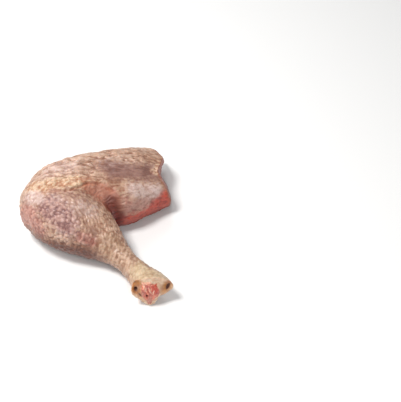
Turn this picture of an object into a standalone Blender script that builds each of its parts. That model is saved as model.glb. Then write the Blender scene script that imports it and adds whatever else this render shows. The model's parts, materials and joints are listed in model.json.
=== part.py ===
"""Raw chicken leg, drumstick and thigh in one piece, lying on a table with its skin up.

The meat and its skin are one body, blended from four round forms: the drumstick, the thigh, the
back of the knee and the roll of skin that crosses it. The shin bone is a body of its own. It ends at the cut
hock, where it shows, and runs up through the drumstick in a fitting socket.

X runs to the thigh's cut end, Y from the hock to the thigh, and Z up. The origin lies on the table
under the middle of the leg's bounding box.
"""
import math

import bmesh
import bpy
import numpy as np
from mathutils import Vector

MM = 0.001

# Each row along a limb: the middle's x, y and z, the half widths to the left and to the right of
# the way the limb runs, the half height, and how square the section is: 2 is an ellipse, and less
# gives it a keel below. The first row is at the knee.
DRUMSTICK = (
    (-45.0, 13.5, 24.0, 25.0, 22.4, 23.0, 2.3),
    (-31.0, 1.0, 24.6, 25.8, 25.2, 25.6, 2.3),
    (-19.0, -9.3, 24.6, 27.4, 26.6, 26.4, 2.1),
    (-6.5, -19.5, 23.1, 24.7, 23.4, 24.2, 2.0),
    (5.5, -28.8, 20.2, 19.6, 17.2, 18.4, 2.0),
    (16.5, -38.0, 17.0, 13.7, 10.7, 13.0, 2.0),
    (25.0, -45.5, 14.6, 9.6, 7.8, 9.4, 2.0),
    (31.5, -52.0, 13.5, 8.0, 7.6, 9.0, 2.0),
    (38.0, -59.5, 12.9, 9.4, 9.2, 9.8, 2.0),
    (43.0, -66.5, 12.2, 12.6, 11.6, 11.6, 1.7),
    (46.5, -74.0, 12.2, 15.8, 13.6, 14.4, 1.4),
    (48.0, -81.0, 12.2, 15.4, 13.2, 14.4, 1.3),
)
THIGH = (
    (-44.0, 9.0, 22.0, 16.0, 19.0, 20.0, 2.2),
    (-25.0, 12.3, 22.4, 17.4, 25.0, 26.0, 2.3),
    (-10.0, 16.0, 21.8, 22.8, 30.0, 26.6, 2.4),
    (6.0, 20.8, 20.2, 27.2, 32.4, 23.8, 2.7),
    (24.0, 26.0, 18.2, 30.2, 31.6, 20.6, 3.0),
    (40.0, 30.3, 16.2, 33.2, 25.2, 17.2, 2.9),
    (51.0, 33.0, 14.2, 34.2, 21.8, 14.4, 2.6),
    (61.0, 35.5, 12.6, 33.6, 19.0, 12.8, 2.4),
)
KNEE = (
    (-35.5, 3.0, 22.5, 13.0, 12.0, 17.0, 2.0),
    (-34.5, 13.0, 22.2, 13.5, 12.0, 19.0, 2.0),
    (-32.0, 23.0, 21.5, 11.5, 12.0, 18.0, 2.0),
)
SKIN_ROLL = (
    (-44.0, 3.0, 30.0, 7.0, 7.0, 7.0, 2.0),
    (-38.0, -1.0, 37.0, 7.5, 7.5, 7.5, 2.0),
    (-28.0, -3.0, 42.2, 7.5, 7.5, 7.5, 2.0),
    (-16.0, -3.8, 43.6, 7.5, 7.5, 7.5, 2.0),
    (-5.0, -1.2, 42.2, 8.0, 7.5, 8.0, 2.0),
    (3.0, 2.0, 37.6, 9.0, 8.5, 8.5, 2.0),
    (10.0, 3.0, 31.0, 10.0, 9.0, 9.0, 2.0),
    (17.0, 3.0, 24.0, 10.0, 9.0, 9.0, 2.0),
)
SHIN_BONE = (
    (-33.0, 2.8, 24.8, 5.5, 5.5, 5.5, 2.0),
    (-19.0, -9.3, 24.6, 4.5, 4.5, 4.5, 2.0),
    (-6.5, -19.5, 23.2, 4.0, 4.0, 4.0, 2.0),
    (5.5, -28.8, 20.2, 3.8, 3.8, 3.8, 2.0),
    (16.5, -38.0, 17.0, 3.8, 3.8, 3.8, 2.0),
    (25.0, -45.5, 14.8, 3.8, 3.8, 3.8, 2.0),
    (32.0, -52.5, 13.8, 4.0, 4.0, 4.0, 2.0),
    (38.5, -60.0, 13.4, 4.8, 4.6, 4.8, 2.0),
    (43.6, -67.5, 13.2, 6.0, 5.8, 6.2, 2.0),
    (46.0, -73.0, 13.2, 6.4, 6.3, 7.0, 2.0),
    (46.8, -77.2, 13.2, 6.6, 6.4, 7.2, 2.0),
)
DRUMSTICK_ROUNDING = 20.0
THIGH_ROUNDING = 12.0
KNEE_ROUNDING = 8.0
BONE_ROUNDING = 6.0
BONE_GAP = 0.3
SOCKET_OVERSHOOT = 6.0
ROW_STEP = 1.5
SECTION_POINTS = 48
BONE_ROW_STEP = 4.0
BONE_SECTION_POINTS = 20

# The skin draws the four forms together
BLEND_CELL = 1.3
BLEND_RADIUS = 3.7
BLEND_STRENGTH = 0.5

# The cut through the hock is a little domed and leans back toward its top: HOCK_LEAN gives how far
# at places from left to right. It has two shallow hollows. The knob stands on a soft tip: its two
# sides are drawn up off the table, by so much at so far from the tip. The cut through the thigh
# slants, so its reach along X falls off with the distance back and up from its foremost point, and
# it is wavy: each wave has that distance, how far it spreads and how high it is.
HOCK_CUT_PLACE = (46.8, -74.8)
HOCK_CUT_HEADING = -83.0
HOCK_CUT_DOME = 2.0
HOCK_HALF_WIDTH = 14.0
HOCK_LEAN = ((-10.0, 4.0), (-2.0, 2.7), (4.0, 2.4), (12.0, 1.2))
HOCK_LEAN_HEIGHTS = (13.2, 22.2)
HOCK_LEAN_LENGTH = (-14.0, -6.0)
HOCK_HOLLOWS = ((-9.6, 17.0), (11.2, 16.0))
HOCK_HOLLOW_RADIUS = 2.8
HOCK_HOLLOW_DEPTH = 1.2
HOCK_TIP_ASIDE = -1.6
HOCK_DRAWN_UP = {"left": (4.5, 8.0), "right": (8.0, 9.5)}
HOCK_DRAWN_HEIGHT = 22.0
HOCK_DRAWN_LENGTH = (-20.0, -4.0)
THIGH_CUT_TIP = (58.7, 22.7, 6.0)
THIGH_CUT_SLOPE = -0.22
THIGH_CUT_WAVES = ((-14.0, 7.0, -6.0), (27.0, 9.0, -2.6), (45.0, 8.0, 3.4), (58.0, 6.0, -2.0))
CUT_SOFTNESS = 0.8

# Where the leg lies on the table it is pressed flat
TABLE_SOFTNESS = 2.5
TABLE_DEPTH = 0.15
LEG_TRIANGLES = 8600

MEAT_COLOUR = (0.63, 0.42, 0.34, 1.0)
BONE_COLOUR = (0.62, 0.33, 0.27, 1.0)


def smooth_rows(rows, step):
    """Rows at even steps on the smooth curve through the given rows."""
    rows = np.array(rows, float)
    chord = np.linalg.norm(np.diff(rows[:, :3], axis=0), axis=1)
    place = np.concatenate(([0.0], np.cumsum(chord)))
    count = int(place[-1] / step)
    wanted = np.linspace(0.0, place[-1], count)
    slope = np.gradient(rows, place, axis=0)
    span = np.clip(np.searchsorted(place, wanted, side="right") - 1, 0, len(rows) - 2)
    length = chord[span][:, None]
    u = ((wanted - place[span]) / chord[span])[:, None]
    start, end = rows[span], rows[span + 1]
    leave, arrive = slope[span] * length, slope[span + 1] * length
    curve = (2 * u**3 - 3 * u**2 + 1) * start + (3 * u**2 - 2 * u**3) * end
    curve += (u**3 - 2 * u**2 + u) * leave + (u**3 - u**2) * arrive
    return curve, wanted


def limb(name, rows, rounding, step=ROW_STEP, section_points=SECTION_POINTS):
    """A closed tube along the rows, with its first end rounded off."""
    curve, place = smooth_rows(rows, step)
    nose = np.clip(1.0 - place / rounding, 0.0, 0.99)
    curve[:, 3:6] *= np.sqrt(1.0 - nose**2)[:, None]
    heading = np.gradient(curve[:, :2], axis=0)
    heading /= np.linalg.norm(heading, axis=1)[:, None]
    bm = bmesh.new()
    rings = []
    for (x, y, z, left, right, half_height, squareness), (hx, hy) in zip(curve, heading):
        ring = []
        for k in range(section_points):
            turn = 2.0 * math.pi * k / section_points
            power = 2.0 / (squareness if turn > math.pi else max(squareness, 2.0))
            across = math.copysign(abs(math.cos(turn)) ** power, math.cos(turn))
            rise = math.copysign(abs(math.sin(turn)) ** power, math.sin(turn))
            across *= left if across > 0.0 else right
            point = (x - across * hy, y + across * hx, z + rise * half_height)
            ring.append(bm.verts.new([value * MM for value in point]))
        rings.append(ring)
    for ring, after in zip(rings, rings[1:]):
        for k in range(section_points):
            nxt = (k + 1) % section_points
            bm.faces.new((ring[k], ring[nxt], after[nxt], after[k]))
    bm.faces.new(rings[0])
    bm.faces.new(rings[-1])
    bmesh.ops.recalc_face_normals(bm, faces=bm.faces)
    mesh = bpy.data.meshes.new(name)
    bm.to_mesh(mesh)
    bm.free()
    piece = bpy.data.objects.new(name, mesh)
    bpy.context.scene.collection.objects.link(piece)
    return piece


def apply_modifiers(piece):
    """Turn the piece's modifiers into its mesh."""
    graph = bpy.context.evaluated_depsgraph_get()
    mesh = bpy.data.meshes.new_from_object(piece.evaluated_get(graph))
    piece.modifiers.clear()
    piece.data = mesh


def blend(name, pieces):
    """One skin over the overlapping pieces, with its creases softened."""
    bm = bmesh.new()
    for piece in pieces:
        bm.from_mesh(piece.data)
    mesh = bpy.data.meshes.new(name)
    bm.to_mesh(mesh)
    bm.free()
    for piece in pieces:
        bpy.data.objects.remove(piece)
    body = bpy.data.objects.new(name, mesh)
    bpy.context.scene.collection.objects.link(body)
    remesh = body.modifiers.new("one skin", "REMESH")
    remesh.mode = "VOXEL"
    remesh.voxel_size = BLEND_CELL * MM
    smooth = body.modifiers.new("soft creases", "SMOOTH")
    smooth.factor = BLEND_STRENGTH
    smooth.iterations = round((BLEND_RADIUS / BLEND_CELL) ** 2)
    apply_modifiers(body)
    return body


def soft_excess(distance, softness):
    """How far a point must go back to stay behind a limit, with a rounded corner."""
    corner = (distance + softness) ** 2 / (4.0 * softness)
    return np.where(distance > softness, distance, np.where(distance > -softness, corner, 0.0))


def points_of(piece):
    """The piece's vertices in millimetres."""
    points = np.empty(3 * len(piece.data.vertices))
    piece.data.vertices.foreach_get("co", points)
    return points.reshape(-1, 3) / MM


def move_points(piece, points):
    """Give the piece's vertices new places, in millimetres."""
    piece.data.vertices.foreach_set("co", (points * MM).ravel())
    piece.data.update()


def eased(value, low, high):
    """0 below low, 1 above high, with an even curve between."""
    share = np.clip((value - low) / (high - low), 0.0, 1.0)
    return share * share * (3.0 - 2.0 * share)


def from_hock(points):
    """How far points lie ahead of the hock's cut and aside of its middle, and the way ahead."""
    turn = math.radians(HOCK_CUT_HEADING)
    outward = np.array((math.cos(turn), math.sin(turn)))
    from_middle = points[:, :2] - HOCK_CUT_PLACE
    return from_middle @ outward, from_middle @ np.array((-outward[1], outward[0])), outward


def draw_up_hock(points):
    """Draw the knob's two sides up off the table, most at their underside."""
    ahead, aside, _ = from_hock(points)
    lift = np.zeros(len(points))
    for name, sign in (("left", -1.0), ("right", 1.0)):
        height, reach = HOCK_DRAWN_UP[name]
        lift += height * eased(sign * (aside - HOCK_TIP_ASIDE), 0.0, reach)
    low = np.clip(1.0 - points[:, 2] / HOCK_DRAWN_HEIGHT, 0.0, 1.0)
    points[:, 2] += lift * eased(ahead, *HOCK_DRAWN_LENGTH) * low * low


def lean_of_hock(aside, height):
    """How far the knob's cut leans back at places on it."""
    asides, amounts = zip(*HOCK_LEAN)
    return np.interp(aside, asides, amounts) * eased(height, *HOCK_LEAN_HEIGHTS)


def cut_hock(points):
    """Press the knob's end back to the domed cut."""
    ahead, aside, outward = from_hock(points)
    near = (np.abs(aside) < 2.0 * HOCK_HALF_WIDTH) & (ahead > -HOCK_HALF_WIDTH)
    limit = HOCK_CUT_DOME * (1.0 - (aside / HOCK_HALF_WIDTH) ** 2)
    limit -= lean_of_hock(aside, points[:, 2])
    for hollow_aside, hollow_height in HOCK_HOLLOWS:
        away = np.hypot(aside - hollow_aside, points[:, 2] - hollow_height) / HOCK_HOLLOW_RADIUS
        limit -= HOCK_HOLLOW_DEPTH * np.exp(-(away**2))
    back = np.where(near, soft_excess(ahead - limit, CUT_SOFTNESS), 0.0)
    points[:, :2] -= back[:, None] * outward


def cut_thigh(points):
    """Press the thigh's end back to the slanting, wavy cut."""
    tip_x, tip_y, tip_z = THIGH_CUT_TIP
    back_and_up = (points[:, 1] - tip_y) + (points[:, 2] - tip_z)
    limit = tip_x + THIGH_CUT_SLOPE * back_and_up
    for middle, spread, height in THIGH_CUT_WAVES:
        limit += height * np.exp(-(((back_and_up - middle) / spread) ** 2))
    near = points[:, 1] > 0.0
    points[:, 0] -= np.where(near, soft_excess(points[:, 0] - limit, CUT_SOFTNESS), 0.0)


def press_on_table(points):
    """Flatten what would reach below the table, just under its surface."""
    sunk = soft_excess(-points[:, 2], TABLE_SOFTNESS)
    points[:, 2] += sunk - TABLE_DEPTH


def cut_flat(piece):
    """Cut the underside off at the table, which leaves flat faces to lie on."""
    bm = bmesh.new()
    bm.from_mesh(piece.data)
    everything = bm.verts[:] + bm.edges[:] + bm.faces[:]
    cut = bmesh.ops.bisect_plane(
        bm, geom=everything, plane_co=(0.0, 0.0, 0.0), plane_no=(0.0, 0.0, 1.0), clear_inner=True
    )
    edges = [item for item in cut["geom_cut"] if isinstance(item, bmesh.types.BMEdge)]
    bmesh.ops.holes_fill(bm, edges=edges)
    bmesh.ops.recalc_face_normals(bm, faces=bm.faces)
    bm.to_mesh(piece.data)
    bm.free()


def thin_out(piece, triangles):
    """Fewer, larger faces on the same form."""
    thin = piece.modifiers.new("fewer faces", "DECIMATE")
    thin.ratio = triangles / (2.0 * len(piece.data.polygons))
    thin.use_collapse_triangulate = True
    apply_modifiers(piece)


def give_material(piece, colour, roughness):
    """The piece's own plain material."""
    material = bpy.data.materials.new(piece.name)
    material.use_nodes = True
    shader = material.node_tree.nodes["Principled BSDF"]
    shader.inputs["Base Color"].default_value = colour
    shader.inputs["Roughness"].default_value = roughness
    piece.data.materials.clear()
    piece.data.materials.append(material)


def make_leg():
    """The meat with its skin."""
    forms = [
        limb("drumstick", DRUMSTICK, DRUMSTICK_ROUNDING),
        limb("thigh", THIGH, THIGH_ROUNDING),
        limb("knee", KNEE, KNEE_ROUNDING),
        limb("skin_roll", SKIN_ROLL, SKIN_ROLL[0][3]),
    ]
    leg = blend("leg", forms)
    points = points_of(leg)
    draw_up_hock(points)
    cut_hock(points)
    cut_thigh(points)
    press_on_table(points)
    move_points(leg, points)
    thin_out(leg, LEG_TRIANGLES)
    cut_flat(leg)
    leg.data.shade_smooth()
    give_material(leg, MEAT_COLOUR, 0.45)
    return leg


def make_bone():
    """The shin bone, whose lower end stands out a little where the hock is cut."""
    bone = limb("shin_bone", SHIN_BONE, BONE_ROUNDING, BONE_ROW_STEP, BONE_SECTION_POINTS)
    points = points_of(bone)
    ahead, aside, outward = from_hock(points)
    back = lean_of_hock(aside, points[:, 2]) * eased(ahead, *HOCK_LEAN_LENGTH)
    points[:, :2] -= back[:, None] * outward
    move_points(bone, points)
    bone.data.shade_smooth()
    give_material(bone, BONE_COLOUR, 0.4)
    return bone


def cut_socket(leg, bone):
    """Open the leg for the bone, with an even gap round it."""
    socket = bpy.data.objects.new("socket", bone.data.copy())
    bpy.context.scene.collection.objects.link(socket)
    bm = bmesh.new()
    bm.from_mesh(socket.data)
    bm.verts.ensure_lookup_table()
    end_ring = bm.verts[-BONE_SECTION_POINTS:]
    way_out = np.subtract(SHIN_BONE[-1][:2], SHIN_BONE[-2][:2])
    outward = Vector((*way_out, 0.0)).normalized()
    for vert in bm.verts:
        vert.co += vert.normal * BONE_GAP * MM
    for vert in end_ring:
        vert.co += outward * SOCKET_OVERSHOOT * MM
    bm.to_mesh(socket.data)
    bm.free()
    opening = leg.modifiers.new("bone socket", "BOOLEAN")
    opening.operation = "DIFFERENCE"
    opening.object = socket
    apply_modifiers(leg)
    bpy.data.objects.remove(socket)


def stand_on_origin(pieces):
    """Bring the middle of the underside of the bounding box to the origin."""
    points = np.concatenate([points_of(piece) for piece in pieces])
    low, high = points.min(axis=0), points.max(axis=0)
    shift = -np.array(((low[0] + high[0]) / 2.0, (low[1] + high[1]) / 2.0, low[2]))
    for piece in pieces:
        move_points(piece, points_of(piece) + shift)


def main():
    for old in list(bpy.data.objects):
        bpy.data.objects.remove(old)
    leg = make_leg()
    bone = make_bone()
    cut_socket(leg, bone)
    stand_on_origin([leg, bone])


main()
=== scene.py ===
# %% [markdown]
# # A raw chicken leg
# One whole leg as it lies on a butcher's table, skin side up: the drumstick bends round to
# the front, the thigh runs off to the right behind it, and the hock, where the foot was cut
# off, points at the viewer. The CAD solids give the frame: a `leg` of skin and meat in one
# piece, and the `shin_bone` in it, whose end shows at the hock. This lesson dresses them.

# %% The frame
import json
import math

import bpy
import numpy as np
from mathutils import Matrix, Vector, kdtree, noise

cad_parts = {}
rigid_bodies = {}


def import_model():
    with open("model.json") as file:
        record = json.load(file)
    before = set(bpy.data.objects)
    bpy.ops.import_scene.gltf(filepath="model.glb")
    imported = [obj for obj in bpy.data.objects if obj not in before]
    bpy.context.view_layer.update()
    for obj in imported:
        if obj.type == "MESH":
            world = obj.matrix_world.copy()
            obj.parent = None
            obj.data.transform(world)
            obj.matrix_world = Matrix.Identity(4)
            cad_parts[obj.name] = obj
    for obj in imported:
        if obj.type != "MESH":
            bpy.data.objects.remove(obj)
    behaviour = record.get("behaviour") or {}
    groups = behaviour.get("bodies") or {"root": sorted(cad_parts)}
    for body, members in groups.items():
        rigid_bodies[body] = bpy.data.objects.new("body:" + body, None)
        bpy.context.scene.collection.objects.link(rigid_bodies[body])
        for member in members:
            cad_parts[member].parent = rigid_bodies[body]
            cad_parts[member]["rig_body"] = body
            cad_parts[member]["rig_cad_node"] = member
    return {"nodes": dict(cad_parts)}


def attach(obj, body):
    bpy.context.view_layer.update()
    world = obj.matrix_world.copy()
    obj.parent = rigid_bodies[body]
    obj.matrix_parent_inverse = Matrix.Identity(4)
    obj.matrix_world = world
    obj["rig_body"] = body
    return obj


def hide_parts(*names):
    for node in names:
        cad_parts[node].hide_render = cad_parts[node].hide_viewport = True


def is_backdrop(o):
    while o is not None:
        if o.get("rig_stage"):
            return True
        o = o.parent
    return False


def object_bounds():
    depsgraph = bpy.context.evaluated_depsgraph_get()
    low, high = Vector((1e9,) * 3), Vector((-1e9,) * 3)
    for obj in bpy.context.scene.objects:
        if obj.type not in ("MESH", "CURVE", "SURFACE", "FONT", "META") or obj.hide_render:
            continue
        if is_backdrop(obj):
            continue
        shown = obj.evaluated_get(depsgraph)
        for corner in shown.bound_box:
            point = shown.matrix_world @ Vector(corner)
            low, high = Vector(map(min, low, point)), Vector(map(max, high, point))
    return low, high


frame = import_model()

MM = 0.001
cad_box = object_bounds()
print("nodes:", sorted(frame["nodes"]), "box in mm:", [round(c / MM, 1) for c in cad_box[1] - cad_box[0]])

# %% [markdown]
# ## The camera and the light
# The leg was photographed from the front and from about 45 degrees above, so that is where
# the camera stands. It is placed first, because every later picture is compared through it.
# The main light is a soft box high on the left. It stands level with the leg and not by the
# camera, so that each bump has a light side and a dark side. Weaker boxes fill in from the
# left, the back and the front, and a pale room lies all round.

# %% Camera, room and lamps
CAMERA_PLACE = (76.2, -491.6, 523.5)
CAMERA_AIM = (76.2, 31.95, 0.0)
LENS = 85.0
SENSOR_WIDTH = 36.0
ROOM_LIGHT = 0.27

camera_data = bpy.data.cameras.new("camera")
camera_data.lens = LENS
camera_data.sensor_width = SENSOR_WIDTH
camera_data.dof.use_dof = False
camera = bpy.data.objects.new("camera", camera_data)
bpy.context.scene.collection.objects.link(camera)
camera.location = Vector(CAMERA_PLACE) * MM
camera.rotation_euler = (Vector(CAMERA_AIM) - Vector(CAMERA_PLACE)).to_track_quat("-Z", "Y").to_euler()
bpy.context.scene.camera = camera

world = bpy.data.worlds.new("pale_room")
world.use_nodes = True
world.node_tree.nodes["Background"].inputs["Color"].default_value = (1.0, 0.995, 0.985, 1.0)
world.node_tree.nodes["Background"].inputs["Strength"].default_value = ROOM_LIGHT
bpy.context.scene.world = world
bpy.context.scene.view_settings.view_transform = "Standard"


def soft_box(name, place, aim, width, power, tint):
    """A square soft lamp at a place in mm, turned to its aim."""
    data = bpy.data.lights.new(name, "AREA")
    data.size = width * MM
    data.energy = power
    data.color = tint
    lamp = bpy.data.objects.new(name, data)
    bpy.context.scene.collection.objects.link(lamp)
    lamp.location = Vector(place) * MM
    lamp.rotation_euler = (Vector(aim) - Vector(place)).to_track_quat("-Z", "Y").to_euler()
    return lamp


soft_box("key_box", (-300, -110, 860), (0, 0, 20), 230, 6.9, (1.0, 0.99, 0.97))
soft_box("left_box", (-760, 100, 420), (-20, 0, 25), 300, 1.6, (1.0, 0.99, 0.98))
soft_box("back_box", (-60, 600, 620), (20, 10, 20), 300, 1.4, (0.98, 0.99, 1.0))
soft_box("front_box", (200, -640, 640), (20, -20, 10), 300, 2.2, (1.0, 1.0, 1.0))
print("camera at", CAMERA_PLACE, "lens", LENS)

# %% [markdown] ## The floor A plain pale sheet, much larger than the leg, so that it fills
# the picture.

# %% Floor
FLOOR_SIZE = 8.0

bpy.ops.object.select_all(action="DESELECT")
bpy.ops.mesh.primitive_plane_add(size=FLOOR_SIZE, location=(0, 0, 0))
floor = bpy.context.active_object
floor.name = "floor"
floor_look = bpy.data.materials.new("pale_floor")
floor_look.use_nodes = True
floor_look.node_tree.nodes["Principled BSDF"].inputs["Base Color"].default_value = (0.86, 0.86, 0.86, 1.0)
floor_look.node_tree.nodes["Principled BSDF"].inputs["Roughness"].default_value = 0.8
floor.data.materials.append(floor_look)
floor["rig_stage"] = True
print("floor:", FLOOR_SIZE, "m")

# %% [markdown]
# ## A copy of the solid
# The CAD solids stay as they are, and the piece that is shown begins as a copy of one. A
# solid's faces don't share their points, so the copy's double points are merged first, or
# it would fall apart when it is shaped. The small helpers read and set the points in mm.

# %% Copy and merge
def copy_of(node, name):
    """A merged copy of a CAD node as a free object, alone in the selection."""
    bpy.ops.object.select_all(action="DESELECT")
    piece = frame["nodes"][node].copy()
    piece.data = piece.data.copy()
    piece.name = name
    piece.data.name = name
    piece.parent = None
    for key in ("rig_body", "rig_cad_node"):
        if key in piece:
            del piece[key]
    bpy.context.scene.collection.objects.link(piece)
    bpy.context.view_layer.objects.active = piece
    piece.select_set(True)
    bpy.ops.object.mode_set(mode="EDIT")
    bpy.ops.mesh.select_all(action="SELECT")
    bpy.ops.mesh.remove_doubles(threshold=0.00001)
    bpy.ops.object.mode_set(mode="OBJECT")
    return piece


def points_of(piece):
    """Places of a piece's points in mm."""
    flat = np.empty(len(piece.data.vertices) * 3, np.float32)
    piece.data.vertices.foreach_get("co", flat)
    return flat.reshape(-1, 3).astype(float) / MM


def normals_of(piece):
    """Directions in which a piece's surface looks."""
    flat = np.empty(len(piece.data.vertices) * 3, np.float32)
    piece.data.vertex_normals.foreach_get("vector", flat)
    return flat.reshape(-1, 3).astype(float)


def move_points(piece, places):
    """Put a piece's points at places in mm."""
    piece.data.vertices.foreach_set("co", (places * MM).astype(np.float32).ravel())
    piece.data.update()


skin = copy_of("leg", "leg_skin")
print("merged copy of the leg:", len(skin.data.vertices), "points")

# %% [markdown]
# ## A fine skin over the copy
# The solid has the leg's form but only large faces. Skin has bumps three millimetres apart,
# so it needs a mesh of about half a millimetre. A leg is one soft form without edges to
# extrude or bevel, so it isn't built up from a primitive: the copy is remeshed with small
# even faces and smoothed until the large ones no longer show, as a sculptor would begin.
# The cut at the hock keeps its edges, so less smoothing falls there.

# %% Remesh and smooth
FINE_STEP = 0.5
HOCK = np.array((41.5, -69.4, 13.2))
HOCK_OUT = np.array((0.122, -0.993, 0.0))
HOCK_SIDE = np.array((0.993, 0.122, 0.0))


def smooth_step(value, low, high):
    """0 below low, 1 above high, with an even curve between."""
    t = np.clip((value - low) / (high - low), 0.0, 1.0)
    return t * t * (3.0 - 2.0 * t)


def at_hock(places):
    """Distances from the hock's middle: to the right, up, and out of the cut."""
    step = places - HOCK
    return step @ HOCK_SIDE, step[:, 2], step @ HOCK_OUT


skin.data.remesh_voxel_size = FINE_STEP * MM
bpy.ops.object.voxel_remesh()
side, up, out = at_hock(points_of(skin))
keep_soft = skin.vertex_groups.new(name="smoothed")
softness = np.round(1.0 - 0.85 * smooth_step(out, -6.0, -2.0), 1)
for weight in np.unique(softness):
    keep_soft.add(np.flatnonzero(softness == weight).tolist(), float(weight), "REPLACE")
rounding = skin.modifiers.new("smooth", "SMOOTH")
rounding.factor = 0.5
rounding.iterations = 26
rounding.vertex_group = "smoothed"
bpy.ops.object.modifier_apply(modifier="smooth")
print("fine skin:", len(skin.data.polygons), "faces")

# %% [markdown]
# ## Where things are on the leg
# The finish changes from place to place: a yellow, lumpy ridge along the fold at the knee, a
# purple belly on the drumstick, a smooth patch on the thigh. Each zone could be picked face
# by face, but the picked faces would change with every remesh. So each zone is a short line
# of places on the skin, in mm, and `nearness` gives every point's nearness to that line,
# soft at its border, as paint from a wide brush. The same lines steer relief and colour.

# %% Brushes
def nearness(places, line, radius, soft=0.5):
    """1 on a line through places, 0 beyond the radius, with a soft border."""
    line = np.array(line, float)
    reach = np.full(len(places), 1e9)
    for start, end in zip(line[:-1], line[1:]):
        way = end - start
        t = np.clip((places - start) @ way / (way @ way), 0.0, 1.0)
        reach = np.minimum(reach, np.linalg.norm(places - start - t[:, None] * way, axis=1))
    return 1.0 - smooth_step(reach, radius * (1.0 - soft), radius * (1.0 + soft))


def cloud(places, size, seed=0.0):
    """Slow, uneven change between about -1 and 1, in patches of a size in mm."""
    scaled = places / size + seed
    return np.array([noise.noise(Vector(p)) for p in scaled])


def stir(places, amount, size, seeds):
    """An uneven shift of each point by up to about an amount, in patches of a size in mm."""
    return amount * np.column_stack([cloud(places, size, seed) for seed in seeds])


probes = np.array(((5.0, 0.0, 0.0), (5.0, 4.0, 0.0), (5.0, 9.0, 0.0)))
print("nearness on, beside and off a line:", nearness(probes, [(0, 0, 0), (10, 0, 0)], 4.0))

# %% [markdown]
# ## The landmarks
# These are the places that everything later refers to. On a real leg they follow what lies
# under the skin: the ridge is fat over the knee, the belly is the drumstick's thick muscle,
# the web is loose skin stretched between the two limbs. Two of them need a shape of their
# own: the fold that parts drumstick from thigh, and the slanting cut at the thigh's end.

# %% Landmarks
BELLY = np.array((-27.0, -30.0, 33.0))
BELLY_LEFT = [(-52, -12, 26), (-47, -15, 35), (-40, -22, 28)]
BELLY_MIDDLE = [(-34, -24, 38), (-27, -25, 39), (-18, -30, 36), (-14, -33, 30)]
BELLY_LOW = [(-30, -31, 22), (-18, -35, 22), (-7, -37, 24)]
CALF_SIDE = [(-14, -16, 47), (-5, -22, 42), (2, -28, 35), (9, -36, 27)]
SHANK = [(14, -42, 22), (24, -50, 20), (33, -58, 22)]
RIDGE = [(-43, -1, 46), (-37, -1, 49), (-30, 0, 50), (-23, 0, 50), (-16, 3, 49), (-9, 4, 49), (-4, 5, 47)]
SMOOTH_TOP = [(-24, -8, 50), (-15, -9, 48), (-6, -10, 45), (0, -11, 41)]
THIGH_TOP = [(-33, 16, 48), (-19, 20, 48), (-5, 26, 46), (8, 32, 42), (20, 40, 37)]
PURPLE_PATCH = [(12, 26, 41), (22, 26, 38), (32, 28, 34), (40, 32, 30)]
PALE_STREAK = [(27, 9, 35), (34, 11, 32), (44, 16, 26)]
END_FAT = [(42, 33, 30), (45, 37, 29), (45, 41, 28)]
CROTCH = [(11, -4, 28), (13, -6, 20), (14, -8, 10)]
CROTCH_END = np.array((15.0, -8.0, 22.0))
WEB = [(-4, 3, 46), (0, 2, 42), (4, 0, 39), (8, -2, 34)]
FOLD_LINE = [
    (-42, -7.5, 47), (-34, -7, 50), (-23, -6.6, 50.4), (-17, -5, 50), (-11, -1, 49), (-8, 1.3, 48.7),
]
WEB_EDGE = [
    (-8, 1.3, 48.7), (-4, 4, 47), (0, 7, 44), (4.4, 7.4, 42), (9, 5.4, 39.7), (12, 2.7, 37.3), (15, 0, 32),
]

THIGH_HEADING = math.radians(14.0)
THIGH_WAY = np.array((math.cos(THIGH_HEADING), math.sin(THIGH_HEADING), -0.12))
FOLD_X = (-60, -44, -32, -25, -17, -9, -4, 1, 4, 7, 12, 25, 40)
FOLD_Y = (-1, -1, -2, -2.5, -3, 1, 3.4, 1, -1, -4, -7, -8, -20)
END_WAVES = ((-14, 7, -6.0), (27, 9, -2.6), (45, 8, 3.4), (58, 6, -2.0))


def on_thigh(places):
    """0 on the drumstick, 1 on the thigh, changing across the fold between them."""
    fold = np.interp(places[:, 0], FOLD_X, FOLD_Y)
    return smooth_step(places[:, 1] - fold, -2.5, 3.5)


def end_depth(places):
    """How deep each point lies behind the thigh's slanting, wavy cut."""
    back_and_up = (places[:, 1] - 28.15) + (places[:, 2] - 6.0)
    limit = 53.4 - 0.22 * back_and_up
    for middle, spread, height in END_WAVES:
        limit += height * np.exp(-(((back_and_up - middle) / spread) ** 2))
    return limit - places[:, 0]


def bare_meat(places, normals):
    """1 where the leg was cut open or the skin ends, so that meat shows."""
    on_end = smooth_step(1.1 - end_depth(places), 0.0, 0.7) * smooth_step(normals[:, 0], 0.5, 0.75)
    on_end *= places[:, 1] > 5.0
    ragged = 0.15 * cloud(places, 5.0, 77.0)
    inner_side = on_thigh(places) * smooth_step(ragged - normals[:, 2], 0.12, 0.68)
    inner_side *= smooth_step(places[:, 0], -34.0, -22.0)
    return np.clip(np.maximum(on_end, inner_side), 0.0, 1.0)


co = points_of(skin)
nor = normals_of(skin)
print("points on the thigh:", int((on_thigh(co) > 0.5).sum()), "of", len(co))

# %% [markdown]
# ## The rows of follicles
# Plucked skin is a field of small domes, one for each feather, with creases between them.
# They stand in rows: rings round the drumstick's belly, which become wrinkles across the
# shank, and long rows down the thigh. A noise texture alone would give bumps without rows,
# so each point first gets the direction of its row and its distance across the rows.

# %% Rows
RIDGE_WAY = np.array((0.77, 0.64, 0.0))


def along_surface(direction, normals):
    """A direction laid flat on the surface at each point."""
    flat = direction - (normals @ direction)[:, None] * normals
    return flat / np.maximum(np.linalg.norm(flat, axis=1, keepdims=True), 1e-6)


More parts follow.
